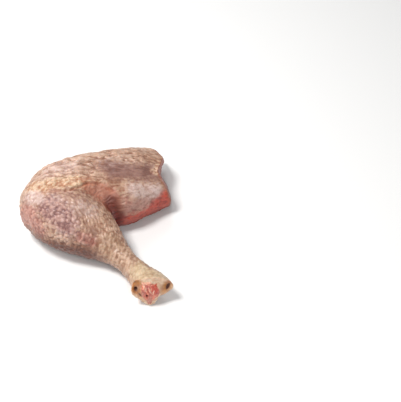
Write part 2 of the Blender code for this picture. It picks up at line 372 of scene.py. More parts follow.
def row_way(places, normals):
    """The direction of the rows of follicles at each point."""
    ring = np.cross(normals, places - BELLY)
    ring /= np.maximum(np.linalg.norm(ring, axis=1, keepdims=True), 1e-6)
    along = along_surface(THIGH_WAY, normals)
    ring *= np.where((ring * along).sum(axis=1, keepdims=True) < 0.0, -1.0, 1.0)
    share = on_thigh(places)[:, None]
    way = ring * (1.0 - share) + along * share
    share = nearness(places, RIDGE, 6.0)[:, None]
    way = way * (1.0 - share) + along_surface(RIDGE_WAY, normals) * share
    return way / np.maximum(np.linalg.norm(way, axis=1, keepdims=True), 1e-6)


def row_number(places):
    """How far each point lies across the rows, in mm."""
    rings = np.linalg.norm(places - BELLY, axis=1)
    across = math.cos(THIGH_HEADING) * places[:, 1] - math.sin(THIGH_HEADING) * places[:, 0]
    lines = 24.0 * np.arctan2(places[:, 2] - 16.0, across - 21.0)
    return np.where(on_thigh(places) < 0.5, rings, lines)


way = row_way(co, nor)
print("directions of rows found for", len(way), "points")

# %% [markdown]
# ## A place for each follicle
# Thousands of places are thrown on the skin, those on a row first, and each is kept only if
# it is free of the last ones, by more along the row than across it. That gives the uneven
# but tidy spacing of real follicles. They are small on the belly and long on the thigh.

# %% Seeds
MOST_THROWN = 90000


def throw_seeds(places, way, turns, length, width, rng):
    """Points spaced by their length along the rows and by their width across them."""
    order = rng.permutation(len(places))[:MOST_THROWN]
    off_row = np.abs(turns[order] - np.round(turns[order]))
    order = order[np.argsort(np.round(off_row * 5.0) + rng.uniform(0.0, 0.9, len(order)))]
    tree = kdtree.KDTree(len(order))
    for at, point in enumerate(order):
        tree.insert(places[point], at)
    tree.balance()
    taken = np.zeros(len(order), bool)
    kept = []
    for at, point in enumerate(order):
        if taken[at]:
            continue
        kept.append(point)
        close = np.array([hit[1] for hit in tree.find_range(places[point], length[point])])
        step = places[order[close]] - places[point]
        lengthwise = step @ way[point]
        crosswise = np.maximum((step * step).sum(axis=1) - lengthwise**2, 0.0)
        taken[close[(lengthwise / length[point]) ** 2 + crosswise / width[point] ** 2 < 1.0]] = True
    return np.array(kept)


rng = np.random.default_rng(11)
on_belly = nearness(co, BELLY_MIDDLE, 11.0)
on_left = nearness(co, BELLY_LEFT, 10.0)
on_calf = nearness(co, CALF_SIDE, 10.0)
on_ridge = nearness(co, RIDGE, 6.0)
thigh_share = on_thigh(co) * (1.0 - on_ridge)
length = 2.6 + 1.2 * on_calf + 2.6 * thigh_share + 0.9 * on_ridge
width = 1.85 + 0.55 * on_belly + 0.35 * thigh_share + 0.25 * on_ridge
turns = (row_number(co) + 1.6 * cloud(co, 9.0) + 0.5 * cloud(co, 4.0, 13.0)) / width
kept = throw_seeds(co, way, turns, length, width, rng)
print("follicles:", len(kept))

# %% [markdown]
# ## A dome over each follicle
# A point's height comes from its nearest follicles: each adds a soft dome, and a crease runs
# halfway between two of them. The places are stirred a little before they are measured, so
# that no dome is a clean oval, and here and there a crease stays closed.

# %% Domes
DOME_RISE = (0.15, 1.25)
NEIGHBOURS = 8


def domes(places, seeds, seed_way, length, width, rise):
    """Summed domes, creases between them from 0 to 1, and nearness to a pit between three."""
    tree = kdtree.KDTree(len(seeds))
    for at, seed in enumerate(seeds):
        tree.insert(seed, at)
    tree.balance()
    close = np.array([[hit[1] for hit in tree.find_n(point, NEIGHBOURS)] for point in places])
    step = places[:, None, :] - seeds[close]
    lengthwise = np.einsum("ijk,ijk->ij", step, seed_way[close])
    crosswise = np.maximum((step**2).sum(axis=2) - lengthwise**2, 0.0)
    reach = np.sqrt((lengthwise / length[close]) ** 2 + crosswise / width[close] ** 2)
    soft = (rise[close] * np.exp(-((reach / 0.50) ** 2))).sum(axis=1)
    first, second, third = np.sort(reach, axis=1)[:, :3].T
    crease = (second - first) / (second + first + 1e-6)
    pit = 1.0 - smooth_step((third - first) / (third + first + 1e-6), 0.03, 0.16)
    return np.clip(soft, 0.0, 1.3), crease, pit


rise = rng.uniform(*DOME_RISE, len(kept))
stirred = co + stir(co, 0.75, 2.6, (31.0, 47.0, 59.0)) + stir(co, 1.2, 6.0, (32.0, 48.0, 60.0))
soft, crease, pit = domes(stirred, co[kept], way[kept], length[kept], width[kept], rise)
creased = 0.2 + 0.2 * thigh_share
closed = smooth_step(cloud(co, 3.0, 91.0), -0.12, 0.22)
dome = (1.0 - creased) * soft + creased * np.maximum(1.0 - (1.0 - crease) ** 2.5, closed)
print("dome height from", round(dome.min(), 2), "to", round(dome.max(), 2))

# %% [markdown]
# ## Long waves on the thigh
# The skin of the thigh lies loose, so its follicles run together into long, wavy furrows. A
# noise that is drawn out along the thigh makes them, and takes the place of most of the
# domes there. The pale streak at the front is stretched tight and keeps few of them, and
# the back has shallower ones.

# %% Waves
WAVE_SIZE = 2.1
TIGHT_SKIN = PALE_STREAK + [(25, 3, 27), (46, 13, 20)]

thigh_axis = THIGH_WAY / np.linalg.norm(THIGH_WAY)
drawn_out = stirred - 0.75 * (stirred @ thigh_axis)[:, None] * thigh_axis
waves = cloud(drawn_out, WAVE_SIZE, 51.0)
wavy = 0.65 * thigh_share * (1.0 - 0.8 * nearness(co, TIGHT_SKIN, 10.0, 0.8))
wavy *= 1.0 - 0.6 * smooth_step(nor[:, 1], 0.15, 0.75)
dome += wavy * (np.clip(0.55 + 2.2 * waves, 0.0, 1.0) - dome)
print("waves cover", round(float((wavy > 0.3).mean()) * 100), "% of the skin")

# %% [markdown]
# ## How strong the relief is
# The domes stand out most on the ridge, the belly and the top of the thigh, and least on the
# smooth patches and in the web. They stop where the skin stops: at the hock's cut, at the
# meat, and on the flat underside, where the leg's weight presses it even.

# %% Strength
LOW_FRONT = [(20, 0, 16), (30, 5, 14), (45, 14, 13)]
HOCK_TOP = [(38, -62, 22), (50, -64, 20)]
CALMER = (
    (SMOOTH_TOP, 6.0, 0.7), (PURPLE_PATCH, 9.5, 0.75), (PALE_STREAK, 7.0, 0.5),
    (WEB, 6.0, 0.95), (LOW_FRONT, 9.0, 0.7), (HOCK_TOP, 8.0, 0.5),
)

strength = 0.64 + 0.42 * on_belly + 0.38 * on_left + 0.45 * nearness(co, BELLY_LOW, 8.0)
strength += 0.75 * on_ridge + nearness(co, THIGH_TOP, 12.0) + 0.2 * on_calf
for line, radius, calm in CALMER:
    strength *= 1.0 - calm * nearness(co, line, radius)

side, up, out = at_hock(co)
on_hock_cut = smooth_step(out, -2.2, -0.6) * smooth_step(nor @ HOCK_OUT, 0.0, 0.5)
meat = bare_meat(co, nor)
off_table = smooth_step(co[:, 2], 0.6, 3.0)
on_skin = (1.0 - on_hock_cut) * (1.0 - meat) * off_table
print("strength from", round(strength.min(), 2), "to", round(strength.max(), 2))

# %% [markdown]
# ## Sculpting the relief
# Now the heights are added up: the domes, slow dents under them, rings of wrinkles across
# the shank and in the web, the edge of skin over the fold with the groove in its shade, and
# lumps of fat at the notch. The meat gets long bundles with seams between them, and the
# skin draws up a little round the hock's cut. Each point then moves along its own normal,
# which is what a sculpting brush does.

# %% Relief
SHANK_RINGS, SHANK_RING_HEIGHT = 3.3, 0.16
WEB_RINGS, WEB_RING_HEIGHT = 3.8, 0.2
LIP_HEIGHT, GROOVE_DEPTH = 1.05, 1.3


def fold_lip(places):
    """Nearness to the edge of the skin over the fold, and to the groove in its shade."""
    x, y, _ = np.array(FOLD_LINE + WEB_EDGE[1:5]).T
    past = places[:, 1] - np.interp(places[:, 0], x, y) - 0.9 * cloud(places, 4.0, 7.0)
    share = nearness(places, FOLD_LINE + WEB_EDGE[1:3], 4.0, 0.8)
    share *= 0.75 + 0.5 * cloud(places, 6.0, 17.0)
    share *= 0.45 + 0.55 * smooth_step(places[:, 0], -38.0, -20.0)
    return share * np.exp(-(((past - 1.3) / 1.4) ** 2)), share * np.exp(-(((past + 0.9) / 0.9) ** 2))


def even_rings(places, middle, spacing, drift):
    """Even rings about a middle, bent by a drift in mm."""
    return np.sin(2.0 * math.pi * (np.linalg.norm(places - middle, axis=1) + drift) / spacing)


height = strength * (dome - 0.5)
height -= 0.25 * pit * (on_belly + on_ridge)
drift = cloud(co, 5.0, 3.0)
height += SHANK_RING_HEIGHT * even_rings(co, BELLY, SHANK_RINGS, 1.6 * drift) * nearness(co, SHANK, 9.0)
in_web = nearness(co, WEB[1:], 6.0, 0.8)
height += WEB_RING_HEIGHT * even_rings(co, CROTCH_END, WEB_RINGS, 4.0 * drift) * in_web
height += 0.60 * cloud(co, 11.0, 9.0) + 0.35 * cloud(co, 5.0, 21.0) * (0.3 + strength)
on_lip, under_lip = fold_lip(co)
height += LIP_HEIGHT * on_lip - GROOVE_DEPTH * under_lip
height += nearness(co, END_FAT, 3.5) * (0.2 + 2.0 * np.abs(cloud(co, 2.8, 41.0)))
height *= on_skin

bundles = np.abs(cloud(co + stir(co, 1.5, 5.0, (81.0, 82.0, 83.0)), 9.0, 71.0))
height += meat * off_table * (1.3 * np.sqrt(bundles) - 0.6 + 0.3 * cloud(co, 1.6, 8.0))
cut_border = np.exp(-(((out + 1.2) / 1.0) ** 2)) * (1.0 - on_hock_cut)
height += 0.4 * cut_border * smooth_step(co[:, 2], 1.0, 4.0)

shaped = co + nor * height[:, None]
shaped[:, 2] = np.maximum(shaped[:, 2], 0.0)
move_points(skin, shaped)
print("relief from", round(height.min(), 2), "to", round(height.max(), 2), "mm")

# %% [markdown]
# ## The hock's cut face
# The foot was cut off at the joint. In the middle, torn gristle lies over the bone's end as
# soft strands, whitish at the top and red at the right, and hangs down to a point on the
# table. On its left the cut runs into a tan cup with a small dark hole, on its right into a
# brown hollow behind a pale rim. Each of these is an oval on the cut face, given by its
# middle, its two radii and its turn.
# The strands are a relief that crosses from the flesh onto the bone, so the same function
# shapes both pieces: each strand is a rounded ridge between two places on the cut.

# %% Ovals and strands
def oval(side, up, middle, radii, turn=0.0):
    """1 in the middle of an oval on the cut face, fading to 0 at its border."""
    a, b = side - middle[0], up - middle[1]
    along = a * math.cos(turn) + b * math.sin(turn)
    across = b * math.cos(turn) - a * math.sin(turn)
    return np.exp(-(((along / radii[0]) ** 2 + (across / radii[1]) ** 2) ** 1.5))


CUP = ((-9.2, 5.4), (3.6, 4.4), -0.1)
CUP_HOLE = ((-10.2, 1.4), (1.3, 1.5), 0.5)
CUP_GROOVE = ((-7.6, -2.4), (0.8, 3.2), 0.55)
CUP_FOOT = ((-6.0, -4.5), (4.0, 4.0), 0.0)
HOLLOW = ((11.3, 2.7), (2.5, 4.5), -0.5)
HOLLOW_SHADE = ((12.4, 2.0), (1.0, 2.8), -0.5)
SMALL_PIT = ((-2.8, -3.0), (0.9, 0.8), 0.6)
TORN_MIDDLE = ((-0.3, 0.5), (6.6, 10.0))

# Each strand: its tone, its two ends (to the right, up), its radius and its rise, in mm.
STRANDS = (
    ("pale", (-4.6, 7.4), (0.4, 8.8), 1.0, 0.9),
    ("pale", (-5.2, 8.4), (-4.6, 5.0), 0.8, 0.8),
    ("pink", (-5.4, 5.9), (-1.9, -1.4), 0.9, 1.0),
    ("pale", (-1.5, 4.4), (0.9, -1.2), 0.6, 1.2),
    ("pale", (-3.4, 4.6), (-2.8, 1.4), 0.5, 0.8),
    ("pink", (-2.4, 7.6), (2.2, 6.0), 1.1, 0.8),
    ("red", (1.6, 5.6), (2.4, -1.6), 1.3, 0.8),
    ("red", (3.6, 6.0), (4.2, -0.8), 1.1, 0.6),
    ("pale", (2.2, 2.2), (1.7, -2.2), 0.45, 0.9),
    ("pink", (0.2, 5.4), (0.9, 1.6), 0.8, 0.8),
    ("mauve", (-6.6, 4.6), (-4.6, -4.6), 0.8, 0.7),
    ("pink", (-4.6, -0.6), (-3.4, -6.6), 0.7, 0.6),
    ("pink", (3.2, -2.0), (1.2, -6.6), 1.4, 0.6),
    ("mauve", (-0.6, -3.8), (-1.5, -10.0), 2.6, 0.9),
)
TONES = ("mauve", "pink", "red", "pale")


def strand_relief(side, up):
    """Height of the strands in mm, and each point's share of each of their tones."""
    height = np.zeros(len(side))
    tones = {tone: np.zeros(len(side)) for tone in TONES}
    side = side + 0.3 * np.sin(1.3 * up + 0.6 * side) + 0.12 * np.sin(3.7 * up)
    for tone, start, end, radius, rise in STRANDS:
        way = np.array(end) - start
        t = np.clip(((side - start[0]) * way[0] + (up - start[1]) * way[1]) / (way @ way), 0.0, 1.0)
        away = np.hypot(side - start[0] - t * way[0], up - start[1] - t * way[1])
        taper = radius * (1.0 - 0.35 * np.abs(2.0 * t - 1.0) ** 2)
        height = np.maximum(height, rise * np.sqrt(np.clip(1.0 - (away / taper) ** 2, 0.0, 1.0)))
        tones[tone] = np.maximum(tones[tone], 1.0 - smooth_step(away, 0.6 * taper, 1.3 * taper))
    return height, tones


print("strands on the cut:", len(STRANDS), "in the tones", TONES)

# %% [markdown]
# ## Tearing the cut open
# The cut face is domed and leans back toward its top, and a tear belongs only on it. So a
# point's share is found first, from how far it sticks out and where its surface looks, and
# then the strands are raised and the cup, its hole and groove and the hollow are sunk.

# %% Torn gristle, cup and hollow
LEAN_SIDE = (-10, -2, 4, 12)
LEAN_BACK = (4.0, 2.7, 2.4, 1.2)
BORE_RADIUS = 7.2


def past_cut(side, up, out):
    """How far points stick out of the cut face, in mm."""
    lean = smooth_step(up, 0.0, 9.0) * np.interp(side, LEAN_SIDE, LEAN_BACK)
    return out - 2.3 + 2.0 * (np.clip(side, -16.0, 16.0) / 14.0) ** 2 + lean


def tear_open(piece, bulge):
    """Give the piece its share of the torn middle of the cut."""
    co = points_of(piece)
    side, up, out = at_hock(co)
    face = smooth_step(past_cut(side, up, out), -3.0, -1.0)
    face *= smooth_step(normals_of(piece) @ HOCK_OUT, 0.1, 0.5)
    height, _ = strand_relief(side, up)
    middle = oval(side, up, *TORN_MIDDLE)
    rise = height + bulge * middle - 1.2 * oval(side, up, *SMALL_PIT)
    torn = np.column_stack((side / 0.9, up / 2.8, out / 2.8))
    rise += 0.45 * cloud(torn, 1.0, 5.0) * middle
    move_points(piece, co + (rise * face)[:, None] * HOCK_OUT)


tear_open(skin, 0.8)
co = points_of(skin)
side, up, out = at_hock(co)
at_cut = past_cut(side, up, out)
face = smooth_step(at_cut, -4.0, -1.5) * smooth_step(normals_of(skin) @ HOCK_OUT, 0.1, 0.45)
sink = 0.9 * oval(side, up, *CUP) + 3.0 * oval(side, up, *CUP_HOLE)
sink += 1.2 * oval(side, up, *CUP_GROOVE) + 1.0 * oval(side, up, *HOLLOW)
sink += 0.35 * cloud(co, 2.4, 5.0)
shaped = co - (sink * face)[:, None] * HOCK_OUT

# The flesh is drawn in round the bone, so that no gap shows beside it.
from_middle = np.hypot(side, up)
near_bore = 1.0 - smooth_step(np.abs(from_middle - BORE_RADIUS), 0.8, 2.2)
near_bore *= smooth_step(at_cut, -3.0, -1.0)
inward = -(side[:, None] * HOCK_SIDE + up[:, None] * np.array((0.0, 0.0, 1.0))) / from_middle[:, None]
shaped += (0.7 * near_bore)[:, None] * inward
move_points(skin, shaped)
print("cut face sunk by up to", round(sink.max(), 1), "mm")

# %% [markdown]
# ## Fewer faces where nothing happens
# The fine mesh spends as many faces on the flat underside as on the belly. Decimate takes
# them away where the surface is plain and keeps them where it is lively, which leaves the
# piece light enough to hand on. The height in its dome is looked up again for each point
# that is left, because the colours need it.

# %% Thin out
SKIN_FACES = 190000

dense = kdtree.KDTree(len(shaped))
for at, place in enumerate(shaped):
    dense.insert(place, at)
dense.balance()
bpy.context.view_layer.objects.active = skin
triangles = sum(len(face.vertices) - 2 for face in skin.data.polygons)
thin = skin.modifiers.new("thin", "DECIMATE")
thin.ratio = min(1.0, SKIN_FACES / triangles)
thin.use_collapse_triangulate = True
bpy.ops.object.modifier_apply(modifier="thin")
bpy.ops.object.shade_smooth()
co = points_of(skin)
nor = normals_of(skin)
lookup = np.array([dense.find(place)[1] for place in co])
dome = dome[lookup]
pit = pit[lookup]
seam = 1.0 - smooth_step(bundles[lookup], 0.015, 0.07)
print("skin now has", len(skin.data.polygons), "faces")

# %% [markdown]
# ## Painting the zones
# The colours of a raw leg change with what lies under the skin: yellow fat on the ridge,
# dark muscle on the belly, red meat along the lower edge. A picture could be painted for
# that, but it would need an unwrapped skin. Here each zone becomes a number on every point,
# an attribute that the material reads, so the material can roughen its border and mix it.
# Each zone is a few strokes: how much, along which line, how wide and how soft.

# %% Zones
ZONES = {
    "yellow": (
        (1.0, RIDGE, 6.0, 0.7), (0.35, [(8, -38, 26), (16, -44, 22)], 8.0, 0.8), (0.12, THIGH_TOP, 10.0, 0.8),
    ),
    "cream": ((1.0, [(34, -59, 24), (42, -66, 24), (52, -66, 23)], 8.0, 0.8),),
    "shank": ((1.0, [(14, -42, 24), (24, -50, 22), (34, -58, 23)], 12.0, 0.6),),
    "fat": ((1.0, END_FAT, 4.0, 0.7),),
    "blush": (
        (1.0, BELLY_LEFT, 8.0, 0.8), (0.9, [(-9, -35, 30), (-2, -36, 28)], 4.0, 0.8),
        (0.8, [(14, -2, 26), (24, 2, 25), (35, 8, 22), (45, 14, 20)], 7.0, 0.8),
    ),
    "purple": (
        (1.0, [(-32, -19, 44), (-25, -22, 43), (-19, -28, 38)], 9.0, 0.8),
        (0.15, [(-19, -28, 38), (-12, -34, 30)], 8.0, 0.8), (0.25, SMOOTH_TOP, 6.0, 0.9),
    ),
    "grey": (
        (1.0, PURPLE_PATCH, 9.0, 0.95), (0.25, SMOOTH_TOP, 6.0, 0.8),
        (0.2, [(3, 24, 43), (12, 18, 41)], 7.0, 0.8),
    ),
    "pale": (
        (0.6, [(-9, -18, 44), (-2, -19, 41)], 6.5, 0.9), (0.3, [(-24, -32, 30), (-16, -34, 28)], 5.0, 0.9),
        (0.25, THIGH_TOP, 10.0, 0.9), (0.3, [(-40, 8, 46), (-33, 16, 48), (-22, 20, 48)], 8.0, 0.9),
        # The knee's stroke, (-46, -9, 44) to (-40, -11, 46), is a painted highlight: pale where the moist
        # knee shines.
        (1.0, [(-46, -9, 44), (-40, -11, 46)], 5.0, 0.8), (1.0, PALE_STREAK, 5.5, 0.95),
    ),
    "tan": (
        # This first stroke, along the drumstick's underside, is painted shade; the zone's other strokes are
        # tan skin.
        (1.0, [(-28, -31, 16), (-17, -36, 17), (-6, -38, 18), (4, -41, 18)], 6.0, 0.8),
        (1.0, [(2, 26, 43), (14, 26, 40), (12, 18, 41)], 7.0, 0.9),
        (0.6, [(12, 8, 40), (18, 6, 37)], 5.0, 0.9),
        (0.5, CALF_SIDE, 8.0, 0.8), (0.5, [(30, 46, 32), (42, 50, 28)], 8.0, 0.8),
    ),
    "web": (
        (0.3, [(-4, -35.5, 29), (1, -36, 28)], 4.0, 0.8), (1.0, WEB, 6.5, 0.95),
        (0.12, WEB_EDGE[1:], 3.5, 0.95),
    ),
    "red": ((0.5, CROTCH, 4.5, 0.8), (0.9, [(44, 12, 17), (51, 17, 20), (55, 21, 13)], 5.0, 0.8)),
    # The fold zone is painted shadow in the groove under the edge of skin over the fold and along the web's
    # edge.
    "fold": ((0.3, WEB_EDGE, 1.6, 0.8),),
    "shade": (
        (1.5, [(11, -2, 32)] + CROTCH + [(15, -5, 20)], 4.8, 0.9),
        (0.4, [(-3, -35.5, 29), (1, -36, 28)], 3.0, 0.9),
        (0.35, [(-34, -27, 16), (-28, -31, 16), (-17, -36, 17), (-6, -38, 18)], 9.0, 0.9),
    ),
}
# The web's strokes below the edge of skin, added once that edge has covered the others.
WEB_BELOW = (
    (0.3, [(13, 5, 38), (18, 1, 34), (19, -1, 27)], 6.5, 0.95),
    (1.0, [(10, 0, 34), (12, -4, 28), (14, -6, 20)], 5.0, 0.8),
)


def brushed(places, strokes):
    """The sum of several brush strokes."""
    return sum(share * nearness(places, line, radius, soft) for share, line, radius, soft in strokes)


zones = {name: brushed(co, strokes) for name, strokes in ZONES.items()}
on_lip, under_lip = fold_lip(co)
zones["yellow"] += 0.7 * on_lip
# Painted shadow in the groove under the fold's edge.
zones["fold"] += 1.1 * under_lip
zones["web"] *= 1.0 - 0.9 * on_lip
zones["web"] += brushed(co, WEB_BELOW)
print("zones from strokes:", len(zones))

# %% [markdown]
# ## Zones that follow the form
# Some colours follow the form and not a line: the meat, the red along the thigh's lower
# edge, the shade low on both limbs, painted shade along the edge of the thigh's cut, and on
# the hock's cut its stains and the painted shade in its holes. They are worked out from
# height, direction and distance, and stored with the others.

# %% Attributes
def paint(piece, name, value):
    """Store one number for each point under a name."""
    layer = piece.data.attributes.new(name, "FLOAT", "POINT")
    layer.data.foreach_set("value", np.clip(value, 0.0, 1.0).astype(np.float32))


side, up, out = at_hock(co)
depth = past_cut(side, up, out)
on_hock_cut = smooth_step(depth, -2.8, -1.4) * smooth_step(nor @ HOCK_OUT, 0.0, 0.35)
# The cup's hole and the hollow reach behind the cut face, so each adds a deeper share.
on_hock_cut = np.maximum(on_hock_cut, smooth_step(depth, -9.0, -7.0) * oval(side, up, *CUP_HOLE) ** 0.3)
on_hock_cut = np.maximum(on_hock_cut, smooth_step(depth, -6.0, -4.0) * oval(side, up, *HOLLOW) ** 0.4)
meat = bare_meat(co, nor) * (1.0 - on_hock_cut)
thigh = on_thigh(co)

low_front = thigh * smooth_step(23.5 - 0.12 * co[:, 0] - co[:, 2], -4.0, 8.0)
low_front *= smooth_step(co[:, 0], 4.0, 16.0) * smooth_step(-nor[:, 1], 0.0, 0.4)
zones["red"] += low_front
under = smooth_step(29.0 - co[:, 2], 0.0, 18.0) * smooth_step(14.0 - co[:, 0], 0.0, 20.0)
under = np.maximum(under, smooth_step(22.0 - co[:, 2], 0.0, 16.0))
zones["shade"] += (1.0 - thigh) * under * smooth_step(-30.0 - out, -10.0, 12.0)
zones["shade"] += 0.7 * thigh * smooth_step(17.0 - co[:, 2], 0.0, 14.0)
# Painted shade along the edge of the thigh's cut.
rim = 1.0 - smooth_step(end_depth(co), 0.6, 2.2)
rim *= smooth_step(co[:, 1], 3.0, 8.0) * smooth_step(nor[:, 0], 0.2, 0.5)

# Painted shade, near black, in the cup's hole and groove, the hollow's dark side and the small pit.
hole = 1.4 * oval(side, up, *CUP_HOLE) + 0.7 * oval(side, up, *CUP_GROOVE)
hole += 0.9 * oval(side, up, *HOLLOW_SHADE) + 0.3 * oval(side, up, *HOLLOW) ** 0.5
hole += 0.9 * oval(side, up, *SMALL_PIT)
brown = 0.5 * oval(side, up, *CUP_FOOT) + oval(side, up, *CUP) ** 0.4
brown += oval(side, up, *HOLLOW) ** 0.25 + oval(side, up, *CUP_HOLE) ** 0.2
_, tones = strand_relief(side, up)

zones.update(dome=dome, pit=pit, seam=seam, thigh=thigh, meat=meat, rim=rim)
zones.update(cut=on_hock_cut, hole=hole, brown=brown)
zones.update({"strand_" + tone: tones[tone] for tone in TONES})
for name, value in zones.items():
    paint(skin, name, value)
print("attributes on the skin:", len(zones))

# %% [markdown]
# ## The skin's material
# Chicken skin is thin and half clear, over yellow fat and pink meat, so light goes into it
# and comes out softened: subsurface scattering does that. Its colours are mixed step by
# step from the zones, each border broken by noise. The creases between the domes are
# darker, and a fine grain and a moist gloss lie over it all.

# %% Material helpers
class Mixer:
    """A short way to wire a material: each call adds a node and returns its output."""

    def __init__(self, name):
        self.material = bpy.data.materials.new(name)
        self.material.use_nodes = True
        self.nodes = self.material.node_tree.nodes
        self.links = self.material.node_tree.links
        self.shader = self.nodes["Principled BSDF"]
        self.place = self.nodes.new("ShaderNodeTexCoord").outputs["Object"]

    def plug(self, value, socket):
        """Link an output, or set a plain value."""
        if isinstance(value, bpy.types.NodeSocket):
            self.links.new(value, socket)
        else:
            socket.default_value = value

    def zone(self, name):
        """A painted attribute."""
        node = self.nodes.new("ShaderNodeAttribute")
        node.attribute_name = name
        return node.outputs["Fac"]

    def stretched(self, turn, scale):
        """The place on the object, turned and stretched."""
        node = self.nodes.new("ShaderNodeMapping")
        self.links.new(self.place, node.inputs["Vector"])
        node.inputs["Rotation"].default_value = turn
        node.inputs["Scale"].default_value = scale
        return node.outputs["Vector"]

    def grain(self, size, detail=3.0, where=None, roughness=0.55, distortion=0.0):
        """Noise with features of a size in mm."""
        node = self.nodes.new("ShaderNodeTexNoise")
        self.links.new(where or self.place, node.inputs["Vector"])
        node.inputs["Scale"].default_value = 1.0 / (size * MM)
        node.inputs["Detail"].default_value = detail
        node.inputs["Roughness"].default_value = roughness
        node.inputs["Distortion"].default_value = distortion
        return node.outputs["Fac"]

    def cells(self, size):
        """Distance to scattered cell centres of a size in mm."""
        node = self.nodes.new("ShaderNodeTexVoronoi")
        self.links.new(self.place, node.inputs["Vector"])
        node.inputs["Scale"].default_value = 1.0 / (size * MM)
        return node.outputs["Distance"]

    def span(self, value, low, high, to_low=0.0, to_high=1.0):
        """Stretch a range of a value to another range."""
        node = self.nodes.new("ShaderNodeMapRange")
        node.interpolation_type = "SMOOTHSTEP"
        self.plug(value, node.inputs["Value"])
        for socket, number in zip(node.inputs[1:5], (low, high, to_low, to_high)):
            socket.default_value = number
        return node.outputs["Result"]

    def sum(self, operation, a, b):
        """Two numbers put together."""
        node = self.nodes.new("ShaderNodeMath")
        node.operation = operation
        self.plug(a, node.inputs[0])
        self.plug(b, node.inputs[1])
        return node.outputs["Value"]

    def mix(self, share, a, b, kind="MIX"):
        """Two colours mixed by a share."""
        node = self.nodes.new("ShaderNodeMix")
        node.data_type = "RGBA"
        node.blend_type = kind
        # The colour sockets follow those for numbers and vectors: inputs 6 and 7, output 2.
        self.plug(share, node.inputs["Factor"])
        self.plug(a, node.inputs[6])
        self.plug(b, node.inputs[7])
        return node.outputs[2]

    def bump(self, height, strength, depth, below=None):
        """Fine relief of a depth in mm."""
        node = self.nodes.new("ShaderNodeBump")
        node.inputs["Strength"].default_value = strength
        node.inputs["Distance"].default_value = depth * MM
        self.links.new(height, node.inputs["Height"])
        if below is not None:
            self.links.new(below, node.inputs["Normal"])
        return node.outputs["Normal"]

    def finish(self, colour, roughness, normal, flesh, coat):
        """Plug everything into the shader, with a share of light through flesh and a moist coat."""
        self.plug(colour, self.shader.inputs["Base Color"])
        self.plug(roughness, self.shader.inputs["Roughness"])
        self.links.new(normal, self.shader.inputs["Normal"])
        self.shader.inputs["Subsurface Weight"].default_value = flesh
        self.shader.inputs["Subsurface Radius"].default_value = (1.0, 0.42, 0.22)
        self.shader.inputs["Subsurface Scale"].default_value = 1.4 * MM
        self.shader.inputs["Coat Weight"].default_value = coat
        self.shader.inputs["Coat Roughness"].default_value = 0.25
        return self.material


print("ways to wire:", [name for name in vars(Mixer) if not name.startswith("_")])

# %% [markdown]
# ## Paints for the skin and the strands
# Every paint below is given as the three numbers of a picture's colour, so they have to be
# turned into linear colours first. The torn strands at the hock lie on both pieces, on the
# skin's cut and on the bone's end, so one function paints them on either.

# %% Paints
def paint_of(red, green, blue):
    """A colour as it is read off a picture, 0 to 255, as the linear colour a shader takes."""
    linear = []
    for value in (red, green, blue):
        part = value / 255.0
        linear.append(part / 12.92 if part <= 0.04045 else ((part + 0.055) / 1.055) ** 2.4)
    return (*linear, 1.0)


def strand_colours(m, colour):
    """Torn gristle over a colour: its mauve mass, then its pink, red and whitish strands."""
    streaks = m.span(m.grain(0.7, 4.0, m.stretched((0, 0.3, 0), (1.0, 1.0, 0.3)), 0.6, 0.4), 0.35, 0.65)
    for tone, dark, light in (
        ("mauve", (172, 94, 80), (208, 146, 126)),
        ("pink", (202, 104, 84), (228, 152, 128)),
        ("red", (181, 56, 34), (203, 84, 58)),
        ("pale", (220, 146, 122), (240, 194, 170)),
    ):
        colour = m.mix(m.zone("strand_" + tone), colour, m.mix(streaks, paint_of(*dark), paint_of(*light)))
    return colour


print("the skin's paint in linear colour:", [round(part, 3) for part in paint_of(206, 173, 151)])

# %% [markdown]
# ## The colours of the skin
# Every zone has two colours, one for the tops of its domes and one for the creases: on real
# skin fat and blood gather between the follicles, and the creases' darker colour is also
# painted shade. The zones are laid over the plain skin one after the other, and only then the
# dome's height chooses between tops and creases.

# %% Colours of the zones
m = Mixer("raw_skin")
patches = m.grain(8.0, 4.0)
mottle = m.grain(2.6, 4.0)
fine = m.grain(0.8, 3.0)

# Each zone: how much of it, the colour of its tops, the colour of its creases.
SHADES = (
    # The tan zone is tan skin, and painted shade along the drumstick's underside.
    ("tan", 0.85, (162, 119, 95), (134, 90, 68)),
    ("yellow", 0.90, (216, 188, 158), (170, 112, 76)),
    ("shank", 0.85, (188, 156, 132), (156, 120, 96)),
    ("cream", 0.85, (208, 188, 156), (186, 160, 128)),
    ("blush", 0.85, (191, 140, 129), (155, 101, 90)),
    ("purple", 0.85, (176, 136, 130), (124, 84, 84)),
    ("grey", 0.90, (138, 100, 92), (120, 82, 74)),
    ("pale", 0.85, (216, 194, 188), (194, 164, 154)),
    ("web", 0.80, (180, 116, 96), (172, 106, 86)),
    ("red", 0.95, (196, 68, 46), (146, 28, 16)),
    ("fat", 0.90, (206, 172, 146), (158, 106, 78)),
)


def broken(zone):
    """A zone whose border is broken up by the mottling."""
    rough = m.sum("ADD", m.zone(zone), m.span(mottle, 0.3, 0.7, -0.2, 0.2))
    inside = m.span(rough, 0.05, 0.95)
    return m.sum("MULTIPLY", inside, m.span(m.zone(zone), 0.0, 0.25))


crown = m.mix(m.span(patches, 0.35, 0.65), paint_of(206, 173, 151), paint_of(190, 155, 133))
# The creases' colours are darker than the tops': partly the skin's own colour, partly painted shade in the
# creases.
crease_colour_and_shade = m.mix(m.span(patches, 0.35, 0.65), paint_of(156, 113, 91), paint_of(139, 97, 77))
for zone, share, crown_shade, valley_shade in SHADES:
    inside = m.sum("MULTIPLY", broken(zone), share)
    crown = m.mix(inside, crown, paint_of(*crown_shade))
    crease_colour_and_shade = m.mix(inside, crease_colour_and_shade, paint_of(*valley_shade))
print("zones in the skin's colour:", len(SHADES))
